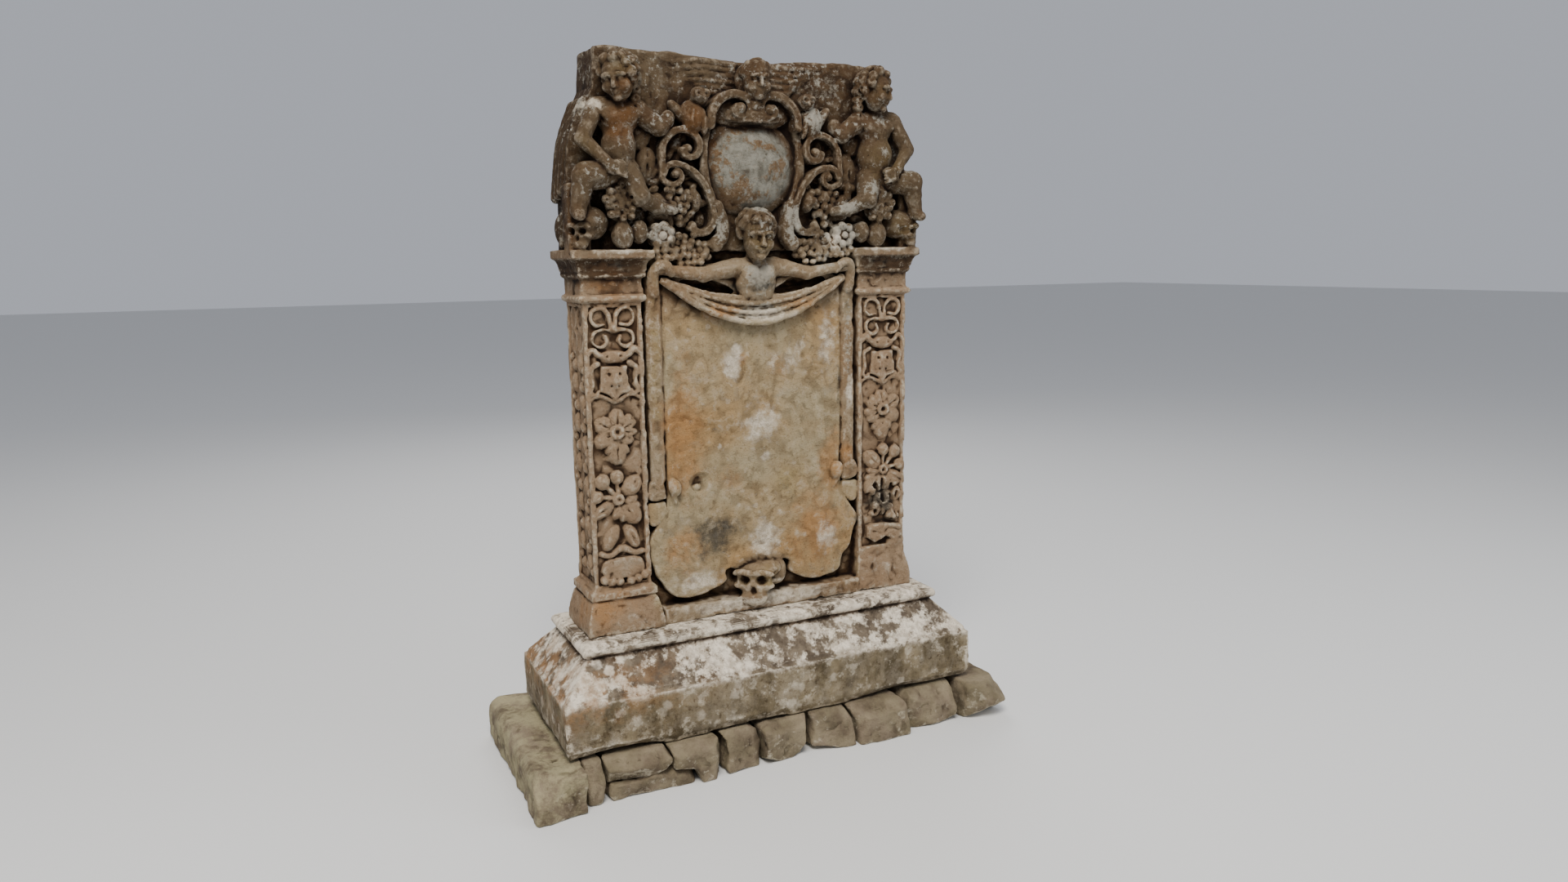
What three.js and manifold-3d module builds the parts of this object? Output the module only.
// A carved sandstone headstone: an upright slab worked from one stone, the moulded plinth it stands on, and
// the rough footing stones under the plinth. Millimetres, +Z up. The front looks along -Y, and the origin
// is on the ground, under the middle of the stone. Heights of the carving are counted from the plinth's bed.
import * as THREE from "three";
import { mergeVertices } from "three/addons/utils/BufferGeometryUtils.js";
import Module from "manifold-3d";

const wasm = await Module();
wasm.setup();

// Driving dimensions.
const FOOTING_HEIGHT = 100;
const BED_GAP = 0.3;
const PLINTH = { width: 1078, depth: 410, faceHeight: 129, height: 240 };
const SHAFT = { width: 840, depth: 135 };
const PILASTER_WIDTH = 136;
const PILASTER_SINK = 7;
const PILASTER_BORDER = 8;
const BASE_TOP = 345;
const NECK = 1003;
const CORNICE_TOP = 1120;
const STONE_TOP = 1548;

// Depths of the carved grounds, from the middle plane of the slab.
const SHAFT_FRONT = -SHAFT.depth / 2;
const SHAFT_BACK = SHAFT.depth / 2;
const FIELD_FRONT = -36;
const CLOTH_FRONT = -60;
const CREST_FRONT = -46;
const CREST_BACK = 84;
const SHAFT_EDGE = SHAFT.width / 2;
const PILASTER_INNER = SHAFT_EDGE - PILASTER_WIDTH;
const PILASTER_MIDDLE = SHAFT_EDGE - PILASTER_WIDTH / 2;

const SIDES = [-1, 1];
const SLAB_STONE = { color: 0x8a7157, roughness: 0.95, metalness: 0 };
const PLINTH_STONE = { color: 0x9a8a74, roughness: 0.95, metalness: 0 };
const FOOTING_STONE = { color: 0x7c7460, roughness: 0.97, metalness: 0 };

// Closed solids from three.js geometry.
function solid(geometry) {
  geometry.deleteAttribute("normal");
  geometry.deleteAttribute("uv");
  const merged = mergeVertices(geometry, 1e-3);
  return new wasm.Manifold(
    new wasm.Mesh({
      numProp: 3,
      vertProperties: merged.attributes.position.array,
      triVerts: Uint32Array.from(merged.index.array),
    }),
  );
}

function joined(solids) {
  return solids.flat(Infinity).reduce((whole, next) => whole.add(next));
}

// One stone: pockets shut in between overlapping forms are filled, so only the outer skin is left.
function oneStone(solids) {
  const skins = joined(solids).decompose();
  return skins.reduce((largest, skin) => (skin.volume() > largest.volume() ? skin : largest));
}

function meshOf(name, body, finish) {
  const { numProp, vertProperties, triVerts } = body.getMesh();
  const geometry = new THREE.BufferGeometry();
  const corners = new THREE.InterleavedBuffer(vertProperties, numProp);
  geometry.setAttribute("position", new THREE.InterleavedBufferAttribute(corners, 3, 0));
  geometry.setIndex(new THREE.BufferAttribute(triVerts, 1));
  const mesh = new THREE.Mesh(geometry, new THREE.MeshStandardMaterial(finish));
  mesh.name = name;
  return mesh;
}

// Puts a shape of unit size in its place. lean tips it clockwise as seen from the front, and yaw swings it
// about the vertical.
function placed(geometry, at, size, lean = 0, yaw = 0) {
  const turn = new THREE.Euler(0, THREE.MathUtils.degToRad(lean), THREE.MathUtils.degToRad(yaw), "ZYX");
  const matrix = new THREE.Matrix4().compose(
    new THREE.Vector3(...at),
    new THREE.Quaternion().setFromEuler(turn),
    new THREE.Vector3(...size),
  );
  return solid(geometry.applyMatrix4(matrix));
}

// A rounded lump.
function ball(at, radii, { lean, yaw, sides = 6 } = {}) {
  return placed(new THREE.SphereGeometry(1, sides, Math.round(sides / 2)), at, radii, lean, yaw);
}

// A lump that only swells forward, for relief that lies on its ground.
function dome(at, radii, lean, sides = 5) {
  const section = [[0, -1], [0.74, -0.66], [1, 0], [0, 0.3]].map(([out, y]) => new THREE.Vector2(out, y));
  return placed(new THREE.LatheGeometry(section, sides), at, radii, lean);
}

// A form turned about an upright axis, [height, radius] pairs from the bottom up, flattened in depth.
function turned([x, y], profile, flatten, sides = 8) {
  const section = profile.map(([z, radius]) => new THREE.Vector2(radius, z));
  const geometry = new THREE.LatheGeometry(section, sides);
  geometry.rotateX(Math.PI / 2);
  return placed(geometry, [x, y, 0], [1, flatten, 1]);
}

// A tapering rod with blunt ends, such as a limb, a stem or a feather.
function limb(from, to, startRadius, endRadius, sides = 6) {
  const axis = new THREE.Vector3(...to).sub(new THREE.Vector3(...from));
  const length = axis.length();
  const blunt = 0.75;
  const profile = [
    new THREE.Vector2(0, -startRadius * blunt),
    new THREE.Vector2(startRadius, 0),
    new THREE.Vector2(endRadius, length),
    new THREE.Vector2(0, length + endRadius * blunt),
  ];
  const turn = new THREE.Quaternion().setFromUnitVectors(new THREE.Vector3(0, 1, 0), axis.normalize());
  return placed(new THREE.LatheGeometry(profile, sides).applyQuaternion(turn), from, [1, 1, 1]);
}

// A round band along a smooth curve through the points.
function band(points, radius, steps, sides = 4) {
  const section = new THREE.Shape();
  for (let i = 0; i < sides; i++) {
    const angle = (i / sides) * 2 * Math.PI;
    section[i ? "lineTo" : "moveTo"](radius * Math.cos(angle), radius * Math.sin(angle));
  }
  const extrudePath = new THREE.CatmullRomCurve3(points.map((p) => new THREE.Vector3(...p)));
  return solid(new THREE.ExtrudeGeometry(section, { steps, extrudePath, bevelEnabled: false }));
}

// A ring that faces the front.
function ring([x, y, z], radius, thickness, segments = 7) {
  const geometry = new THREE.TorusGeometry(radius, thickness, 4, segments);
  geometry.rotateX(Math.PI / 2);
  geometry.translate(x, y, z);
  return solid(geometry);
}

// An outline seen from the front, [x, height] points, cut through the stone from the front depth to the back
// depth. smooth is the number of steps between two points of a curved outline.
function plate(outline, front, back, smooth = 0) {
  const points = outline.map(([x, z]) => new THREE.Vector2(x, z));
  const shape = new THREE.Shape();
  shape.moveTo(points[0].x, points[0].y);
  if (smooth) shape.splineThru([...points.slice(1), points[0]]);
  else points.slice(1).forEach((p) => shape.lineTo(p.x, p.y));
  const geometry = new THREE.ExtrudeGeometry(shape, {
    depth: back - front,
    curveSegments: smooth || 1,
    bevelEnabled: false,
  });
  geometry.rotateX(Math.PI / 2);
  geometry.translate(0, back, 0);
  return solid(geometry);
}

function block([x0, y0, z0], [x1, y1, z1]) {
  const geometry = new THREE.BoxGeometry(x1 - x0, y1 - y0, z1 - z0);
  geometry.translate((x0 + x1) / 2, (y0 + y1) / 2, (z0 + z1) / 2);
  return solid(geometry);
}

// A block whose four sides follow one moulding, [height, projection] pairs from the bottom up, mitred at its
// corners.
function mouldedBlock([left, right], [front, back], moulding) {
  const reach = Math.max(...moulding.map(([, projection]) => projection)) + 1;
  const silhouette = (low, high) => [
    ...moulding.map(([height, projection]) => [high + projection, height]),
    ...moulding.toReversed().map(([height, projection]) => [low - projection, height]),
  ];
  const seenFromFront = plate(silhouette(left, right), front - reach, back + reach);
  const sideShape = new THREE.Shape(silhouette(front, back).map(([y, z]) => new THREE.Vector2(y, z)));
  const length = right - left + 2 * reach;
  const sideways = new THREE.ExtrudeGeometry(sideShape, { depth: length, bevelEnabled: false });
  sideways.applyMatrix4(new THREE.Matrix4().makeBasis(
    new THREE.Vector3(0, 1, 0),
    new THREE.Vector3(0, 0, 1),
    new THREE.Vector3(1, 0, 0),
  ));
  sideways.translate(left - reach, 0, 0);
  return seenFromFront.intersect(solid(sideways));
}

// Points on a spiral round an eye, in the plane of the front. Angles are in degrees, and the radius grows or
// shrinks evenly in ratio from the first to the last.
function spiral([x, z], fromAngle, toAngle, fromRadius, toRadius, count) {
  return Array.from({ length: count }, (_, i) => {
    const share = i / (count - 1);
    const angle = THREE.MathUtils.degToRad(fromAngle + (toAngle - fromAngle) * share);
    const radius = fromRadius * (toRadius / fromRadius) ** share;
    return [x + radius * Math.cos(angle), z + radius * Math.sin(angle)];
  });
}

// A skull looking along -Y, then swung by yaw about the vertical. Its parts are sized in shares of its half
// length.
function skull([x, y, z], size, yaw) {
  const swing = new THREE.Vector3(0, 0, 1);
  const lump = ([across, forward, up], radii, sides) => {
    const offset = new THREE.Vector3(across, -forward, up).multiplyScalar(size);
    offset.applyAxisAngle(swing, THREE.MathUtils.degToRad(yaw));
    return ball([x + offset.x, y + offset.y, z + offset.z], radii.map((r) => r * size), { yaw, sides });
  };
  const bone = [
    lump([0, -0.1, 0.22], [0.82, 1, 0.76], 8),
    lump([0, 0.55, -0.1], [0.68, 0.46, 0.52], 6),
    lump([0, 0.66, -0.58], [0.46, 0.38, 0.34], 6),
  ];
  const hollows = [
    lump([-0.28, 1, -0.02], [0.22, 0.34, 0.2], 4),
    lump([0.28, 1, -0.02], [0.22, 0.34, 0.2], 4),
    lump([0, 1, -0.34], [0.12, 0.24, 0.16], 4),
  ];
  return joined(bone).subtract(joined(hollows));
}

// A bunch of round fruit: rows that narrow downwards, each row shifted by half a fruit.
function bunch([x, y, z], fruit, rows, widest) {
  const berries = [];
  for (let row = 0; row < rows; row++) {
    const count = widest - row;
    for (let i = 0; i < count; i++) {
      const across = (i - (count - 1) / 2) * fruit * 2.05;
      berries.push(dome([x + across, y, z - row * fruit * 1.8], [fruit, fruit * 2.2, fruit], 0, 5));
    }
  }
  return berries;
}

// A leaf that points clockwise from upright by lean degrees, with its stalk at the given place.
function leaf([x, y, z], length, width, lean, thickness = 9) {
  const angle = THREE.MathUtils.degToRad(lean);
  const middle = [x + (Math.sin(angle) * length) / 2, y, z + (Math.cos(angle) * length) / 2];
  return dome(middle, [width / 2, thickness, length / 2], lean);
}

// The shaft: two pilasters with a sunk bay between them.
const BASE_FLARE = [[PLINTH.height, 24], [262, 24], [318, 12], [322, 8], [BASE_TOP, 0]];
const WORN_FLARE = [[PLINTH.height, 10], [262, 7], [300, 2], [BASE_TOP, 0]];
const CAPITAL = [
  [NECK, 0], [1008, 9], [1018, 9], [1022, 2], [1058, 2], [1061, 9], [1073, 10],
  [1088, 16], [1100, 26], [CORNICE_TOP, 26],
];

function pilaster(side) {
  const edges = [side * SHAFT_EDGE, side * PILASTER_INNER].sort((a, b) => a - b);
  const foot = side < 0 ? BASE_FLARE : WORN_FLARE;
  const column = mouldedBlock(edges, [SHAFT_FRONT, SHAFT_BACK], [...foot, ...CAPITAL]);
  const frontPanel = block(
    [edges[0] + PILASTER_BORDER, SHAFT_FRONT - 1, BASE_TOP + PILASTER_BORDER],
    [edges[1] - PILASTER_BORDER, SHAFT_FRONT + PILASTER_SINK, NECK - PILASTER_BORDER],
  );
  const cut = [side * (SHAFT_EDGE - PILASTER_SINK), side * (SHAFT_EDGE + 1)].sort((a, b) => a - b);
  const sidePanel = block(
    [cut[0], SHAFT_FRONT + PILASTER_BORDER, BASE_TOP + PILASTER_BORDER],
    [cut[1], SHAFT_BACK - PILASTER_BORDER, NECK - PILASTER_BORDER],
  );
  return column.subtract(frontPanel).subtract(sidePanel);
}

// Ornaments of a pilaster's front, from the top down. They stand on the sunk ground, a little proud of the
// border.
const ORNAMENT_DEPTH = SHAFT_FRONT + PILASTER_SINK - 2;
const ORNAMENT_FRONT = SHAFT_FRONT - 4;
const ORNAMENT_BACK = SHAFT_FRONT + PILASTER_SINK + 4;

function ribbonKnot(x, z) {
  const loop = 17;
  const cord = 7;
  const apart = 25;
  return SIDES.flatMap((hand) => [
    ring([x + hand * apart, ORNAMENT_DEPTH, z], loop, cord, 6),
    ring([x + hand * apart, ORNAMENT_DEPTH, z - 2 * apart], loop, cord, 6),
  ]);
}

function maskTrophy(x, z) {
  const collar = [[0, -8], [24, -14], [40, -2], [56, 0], [34, -34]];
  const half = [...collar, [26, -42], [36, -104], [14, -104], [0, -120]];
  const outline = [...half, ...half.slice(1, -1).toReversed().map(([out, up]) => [-out, up])];
  const mask = plate(outline.map(([out, up]) => [x + out, z + up]), ORNAMENT_FRONT, ORNAMENT_BACK);
  const curl = { out: 40, down: 42, length: 70, width: 24, splay: 9 };
  const curls = SIDES.map((hand) => {
    const stalk = [x + hand * curl.out, ORNAMENT_DEPTH, z - curl.down];
    return leaf(stalk, curl.length, curl.width, 180 - hand * curl.splay);
  });
  return [mask, curls];
}

function openFlower(x, z, side) {
  const heart = 15;
  const petals = [[-62, 48, 38], [-116, 48, 38], [4, 40, 34], [178, 58, 46], [62, 42, 34], [118, 40, 32]];
  return [
    dome([x, ORNAMENT_DEPTH, z], [heart, heart, heart], 0),
    petals.map(([lean, length, width]) => {
      const angle = THREE.MathUtils.degToRad(-side * lean);
      const stalk = [x + heart * Math.sin(angle), ORNAMENT_DEPTH, z + heart * Math.cos(angle)];
      return leaf(stalk, length, width, -side * lean, 11);
    }),
  ];
}

function berrySpray(x, z, side) {
  const berries = [[36, 40, 18], [2, 48, 15], [50, 6, 15]].map(([out, up, size]) =>
    dome([x + side * out, ORNAMENT_DEPTH, z + up], [size, size, size], 0));
  const leaves = [[-44, 54, 38], [140, 60, 38], [-150, 76, 52]].map(([lean, length, width]) =>
    leaf([x, ORNAMENT_DEPTH, z], length, width, side * lean, 11));
  return [berries, leaves];
}

function vineFoot(x, z) {
  const half = [[0, 22], [24, 30], [48, 18], [52, 4], [34, -16], [0, -38]];
  const outline = [...half, ...half.slice(1, -1).toReversed().map(([out, up]) => [-out, up])];
  const blade = plate(outline.map(([out, up]) => [x + out, z + up]), ORNAMENT_FRONT, ORNAMENT_BACK);
  const grape = { out: 40, down: 34, size: 16 };
  const grapes = SIDES.map((hand) =>
    dome([x + hand * grape.out, ORNAMENT_DEPTH, z - grape.down], [grape.size, grape.size, grape.size]));
  return [blade, grapes];
}

function pilasterFront(side) {
  const x = side * PILASTER_MIDDLE;
  const upper = [ribbonKnot(x, 962), maskTrophy(x, 900), openFlower(x, 712, side)];
  return [upper, berrySpray(x, 556, side), vineFoot(x, 398)];
}

// Each outer side has a ring at the top and a climbing spray of leaves and berries under it.
function pilasterSide(side) {
  const x = side * (SHAFT_EDGE - PILASTER_SINK);
  const sprig = { top: 850, pitch: 130, leafOut: 20, berryOut: 26, berryDrop: 25 };
  const spray = [];
  for (let step = 0; step < 4; step++) {
    const z = sprig.top - step * sprig.pitch;
    const hand = step % 2 ? 1 : -1;
    spray.push(ball([x, hand * sprig.leafOut, z], [11, 26, 50]));
    spray.push(ball([x, -hand * sprig.berryOut, z - sprig.berryDrop], [12, 18, 20]));
  }
  const hoop = { radius: 30, cord: 8, z: 945 };
  const torus = new THREE.TorusGeometry(hoop.radius, hoop.cord, 4, 8).rotateY(Math.PI / 2);
  return [solid(torus.translate(x, 0, hoop.z)), spray];
}

// The bay between the pilasters: a hung cloth with gathered edges, held up by a half figure.
const SILL = { proud: 14, top: 276 };
const CLOTH_HALF = 232;
const RIBBON = { middle: 252, radius: 20, top: 1066, bottom: 592 };

function hungCloth() {
  const half = [
    [CLOTH_HALF, 1046], [CLOTH_HALF, 520], [278, 458], [280, 400], [254, 330], [205, 292], [150, 288],
    [108, 306], [80, 326],
  ];
  const outline = [...half.map(([out, z]) => [-out, z]), ...half.toReversed()];
  return plate(outline, CLOTH_FRONT, FIELD_FRONT + 5, 2);
}

function ribbonAndBow(side) {
  const x = side * RIBBON.middle;
  const y = FIELD_FRONT - 16;
  return [
    limb([x, y, RIBBON.top], [x, y, RIBBON.bottom], RIBBON.radius, RIBBON.radius),
    ball([side * 222, CLOTH_FRONT - 6, 566], [17, 14, 24]),
    ball([x, FIELD_FRONT - 12, 548], [20, 18, 24]),
    ball([x + side * 2, FIELD_FRONT - 12, 502], [22, 18, 30]),
  ];
}

function swag() {
  const hang = { half: 230, top: 1052, folds: [994, 970, 946], radius: 13 };
  return hang.folds.map((low) => {
    const height = (share) => low + (hang.top - low) * share ** 2;
    const route = [-1, -0.5, 0, 0.5, 1].map((share) => [share * hang.half, CLOTH_FRONT - 10, height(share)]);
    return band(route, hang.radius, 6);
  });
}

function halfFigure() {
  const depth = -68;
  const arms = SIDES.map((hand) => [
    band([[hand * 44, depth, 1080], [hand * 138, depth - 6, 1062], [hand * 232, depth, 1074]], 19, 2, 5),
    ring([hand * 246, depth + 6, 1072], 18, 11),
  ]);
  const torso = turned([0, depth], [[1000, 0], [1004, 42], [1076, 50], [1100, 24], [1134, 0]], 0.68, 7);
  const face = ball([-4, depth - 22, 1148], [38, 40, 50], { sides: 8 });
  const hair = [-90, -30, 30, 90].map((lean) => {
    const angle = THREE.MathUtils.degToRad(lean);
    return ball([-4 + 38 * Math.sin(angle), depth - 10, 1152 + 42 * Math.cos(angle)], [24, 30, 24]);
  });
  return [arms, torso, face, hair];
}

// The crest above the cornice: cartouche, winged head, birds, fruit, and a boy with a skull at each corner.
const CREST_SHOULDERS = [[428, 1116], [425, 1290], [405, 1400], [374, 1462], [354, STONE_TOP]];

function crestSlab() {
  const right = CREST_SHOULDERS;
  const left = CREST_SHOULDERS.toReversed().map(([x, z]) => [-x, z]);
  const worn = [[300, 8], [120, 4], [40, -6], [-50, -6], [-120, 0]].map(([x, rise]) => [x, STONE_TOP + rise]);
  return plate([...right, ...worn, ...left], CREST_FRONT, CREST_BACK);
}

const BOSS = { z: 1305, across: 106, up: 94, depth: 42 };
const SCROLL_DEPTH = CREST_FRONT - 8;

function cartouche() {
  const boss = dome([-4, CREST_FRONT + 2, BOSS.z], [BOSS.across, BOSS.depth + 2, BOSS.up], 0, 12);
  const crownRoute = [-118, -92, -50, 0, 50, 92, 118].map((x) => [x, SCROLL_DEPTH - 4, crownHeight(x)]);
  const crown = band(crownRoute, 15, 8);
  const lip = ball([0, SCROLL_DEPTH - 12, 1424], [48, 28, 17]);
  const sides = SIDES.map((side) => {
    const at = (out, z) => [side * out, SCROLL_DEPTH, z];
    return [
      band([at(116, 1398), at(122, 1330), at(116, 1262), at(94, 1186)], 13, 3),
      ball(at(90, 1166), [28, 34, 46]),
      sideScrolls(side),
      perchedBird(side),
    ];
  });
  return [boss, crown, lip, sides];
}

// The rolled top of the cartouche rises to a hump on each side of a dip and drops at its ends.
function crownHeight(x) {
  const hump = 50;
  const fall = Math.max(0, Math.abs(x) - 92) * 1.2;
  return 1444 - 16 * Math.cos((x / hump) * Math.PI) - fall;
}

function sideScrolls(side) {
  const onStone = ([out, z]) => [side * out, SCROLL_DEPTH, z];
  const strap = 11;
  const upperEye = [163, 1342];
  const lowerEye = [195, 1286];
  const upper = [...spiral(upperEye, -17, -380, 13, 68, 10), ...spiral(lowerEye, -20, -200, 32, 10, 6)];
  const lower = [[216, 1290], [192, 1306], [150, 1290], [110, 1232], [103, 1188], [120, 1164], [148, 1162]];
  return [band(upper.map(onStone), strap, 14), band(lower.map(onStone), strap, 6)];
}

function perchedBird(side) {
  return [
    ball([side * 138, SCROLL_DEPTH - 12, 1402], [31, 30, 35], { lean: side * 20 }),
    ball([side * 128, SCROLL_DEPTH - 22, 1440], [20, 21, 20]),
    ball([side * 162, SCROLL_DEPTH - 4, 1406], [16, 18, 34], { lean: side * 40 }),
  ];
}

function wingedHead() {
  const head = ball([4, -76, 1502], [34, 36, 46], { sides: 8 });
  const feathers = SIDES.flatMap((side) =>
    Array.from({ length: 3 }, (_, i) =>
      limb([side * 34, -52, 1474 + i * 22], [side * (118 + i * 22), -48, 1484 + i * 22], 11, 10, 4)));
  return [head, feathers];
}

// A seated boy with one foot on a skull. Places are counted outwards from the middle of the stone.
function boy(side) {
  const at = (out, y, z) => [side * out, y, z];
  const trunk = turned(
    [side * 325, -68],
    [[1250, 0], [1268, 44], [1340, 50], [1400, 54], [1432, 34], [1446, 21], [1466, 0]],
    0.82,
    7,
  );
  const arms = [
    band([at(368, -70, 1424), at(424, -86, 1348), at(340, -114, 1284)], 23, 2, 5),
    ball(at(332, -114, 1284), [30, 22, 24], { lean: side * 15 }),
    band([at(282, -68, 1420), at(228, -76, 1384), at(210, -64, 1406)], 21, 2, 5),
  ];
  const legs = [
    band([at(345, -70, 1290), at(416, -104, 1282), at(428, -100, 1206)], 32, 2, 5),
    ball(at(430, -108, 1200), [24, 30, 16]),
    band([at(304, -70, 1290), at(286, -98, 1232), at(208, -72, 1204)], 26, 2, 5),
  ];
  return [trunk, arms, legs, boyHead(at(326, -92, 1486)), foldedWing(side)];
}

function boyHead([x, y, z]) {
  const curls = [-90, -30, 30, 90].map((lean) => {
    const angle = THREE.MathUtils.degToRad(lean);
    return ball([x + 38 * Math.sin(angle), y + 10, z + 8 + 38 * Math.cos(angle)], [25, 32, 25]);
  });
  return [ball([x, y, z], [44, 46, 50], { sides: 8 }), curls];
}

// Long feathers lie down the side of the stone behind each boy.
function foldedWing(side) {
  return [-22, 22, 66].map((y, i) =>
    ball([side * (412 + i * 3), y, 1336 - i * 6], [20, 24, 92], { lean: side * -9 }));
}

function cornerSkull(side) {
  return skull([side * 396, -66, 1164], 46, side * 48);
}

function fruitAndFlowers(side) {
  const at = (out, z) => [side * out, CREST_FRONT, z];
  const posy = [[0, 4], [-18, -20], [20, -18]].map(([across, up]) =>
    dome(at(330 + across, 1222 + up), [17, 52, 20]));
  const pears = [dome(at(326, 1152), [25, 54, 32]), dome(at(284, 1160), [20, 44, 30], side * -15)];
  const rosette = dome(at(232, 1150), [32, 42, 34], 0, 8);
  const leaves = [
    leaf(at(252, 1204), 72, 42, side * 10, 20),
    leaf(at(258, 1290), 72, 44, side * -12, 18),
    leaf(at(142, 1206), 50, 28, side * 8, 24),
  ];
  const clusters = [bunch(at(180, 1236), 12, 3, 3), bunch(at(170, 1140), 13, 2, 4)];
  return [posy, pears, rosette, leaves, clusters];
}

function headstone() {
  const edge = PILASTER_INNER + 2;
  const bay = block([-edge, FIELD_FRONT, PLINTH.height], [edge, SHAFT_BACK - PILASTER_SINK, CORNICE_TOP]);
  const sill = block([-edge, SHAFT_FRONT - SILL.proud, PLINTH.height], [edge, FIELD_FRONT + 1, SILL.top]);
  const crest = [crestSlab(), cartouche(), wingedHead(), halfFigure()];
  const corners = SIDES.map((side) => [boy(side), cornerSkull(side), fruitAndFlowers(side)]);
  const columns = SIDES.map((side) => [pilaster(side), pilasterFront(side), pilasterSide(side)]);
  const foot = skull([-4, -70, 322], 62, -24);
  return oneStone([bay, sill, columns, hungCloth(), SIDES.map(ribbonAndBow), swag(), foot, crest, corners]);
}

// The plinth: an upright face, a small fillet, a broad splay and a roll under the bed of the slab.
function plinth() {
  const splay = 71;
  const roll = PLINTH.height - 16;
  const moulding = [
    [0, 0], [PLINTH.faceHeight, 0], [PLINTH.faceHeight + 4, -6], [PLINTH.faceHeight + 10, -8],
    [roll - 13, -splay], [roll - 10, -splay + 7], [roll, -splay + 10], [roll + 10, -splay + 7],
    [PLINTH.height - BED_GAP, -splay + 2],
  ];
  const half = { x: PLINTH.width / 2, y: PLINTH.depth / 2 };
  return mouldedBlock([-half.x, half.x], [-half.y, half.y], moulding);
}

// A rough stone: an outline seen from the front, split flat on its bed and where it carries the plinth, with
// its front and back edges knocked off.
function rubble(outline, front, back) {
  const shape = new THREE.Shape(outline.map(([x, z]) => new THREE.Vector2(x, z)));
  const chamfer = { bevelThickness: 16, bevelSize: 7, bevelOffset: -7, bevelSegments: 1 };
  const geometry = new THREE.ExtrudeGeometry(shape, {
    depth: back - front - 2 * chamfer.bevelThickness,
    bevelEnabled: true,
    ...chamfer,
  });
  geometry.rotateX(Math.PI / 2);
  geometry.translate(0, back - chamfer.bevelThickness, 0);
  return solid(geometry);
}

// Footing stones. The front ones run from left to right, each with its front depth and outline. The second
// lies on the third, and the others on the ground.
const BED = FOOTING_HEIGHT - BED_GAP;
const END_SLAB = { inner: 505, outer: 622, halfDepth: 262 };
const RUBBLE_BACK = 60;
const FRONT_RUBBLE = [
  [-226, [[-500, 0], [-460, 0], [-456, 46], [-466, BED], [-500, BED]]],
  [-234, [[-446, 40], [-384, 34], [-302, 50], [-298, 76], [-316, BED], [-456, BED], [-448, 60]]],
  [-246, [[-452, 0], [-238, 0], [-242, 34], [-302, 50], [-384, 34], [-446, 40]]],
  [-236, [[-294, 49], [-242, 35], [-230, 0], [-178, 0], [-168, 58], [-190, BED], [-304, BED], [-291, 76]]],
  [-228, [[-171, 0], [-76, 0], [-70, 50], [-80, 88], [-98, BED], [-178, BED], [-164, 84], [-160, 50]]],
  [-244, [[-68, 0], [56, 0], [62, 54], [58, BED], [-90, BED], [-72, 88], [-62, 50]]],
  [-236, [[64, 0], [184, 0], [178, 66], [160, BED], [66, BED], [70, 54]]],
  [-246, [[192, 0], [336, 0], [330, 58], [306, BED], [168, BED], [186, 66]]],
  [-230, [[344, 0], [498, 0], [498, 70], [486, BED], [314, BED], [338, 58]]],
];
const UPPER_STONE = 1;
const BACK_JOINTS = [-500, -250, -40, 190, 500];
const JOINT = { foot: 4, top: 9 };
const BACK_FACE = 236;

function footings() {
  const front = FRONT_RUBBLE.map(([depth, outline], i) => {
    const lifted = outline.map(([x, z]) => [x, i === UPPER_STONE && z < BED ? z + BED_GAP : z]);
    return meshOf(`footing_front_${i + 1}`, rubble(lifted, depth, -RUBBLE_BACK), FOOTING_STONE);
  });
  const back = BACK_JOINTS.slice(1).map((right, i) => {
    const left = BACK_JOINTS[i];
    const outline = [
      [left + JOINT.foot, 0], [right - JOINT.foot, 0], [right - JOINT.top, BED], [left + JOINT.top, BED],
    ];
    return meshOf(`footing_back_${i + 1}`, rubble(outline, RUBBLE_BACK, BACK_FACE), FOOTING_STONE);
  });
  const ends = SIDES.map((side) => {
    const { inner, outer, halfDepth } = END_SLAB;
    const outline = [[inner, 0], [outer, 0], [outer - 3, 80], [outer - 16, BED], [inner, BED]];
    const name = side < 0 ? "footing_slab_left" : "footing_slab_right";
    const slab = rubble(outline.map(([x, z]) => [side * x, z]), -halfDepth, halfDepth);
    return meshOf(name, slab, FOOTING_STONE);
  });
  return [...front, ...back, ...ends];
}

const monument = new THREE.Group();
monument.position.z = FOOTING_HEIGHT;
monument.add(meshOf("headstone", headstone(), SLAB_STONE), meshOf("plinth", plinth(), PLINTH_STONE));

const grave = new THREE.Group();
grave.add(monument, ...footings());

export default grave;
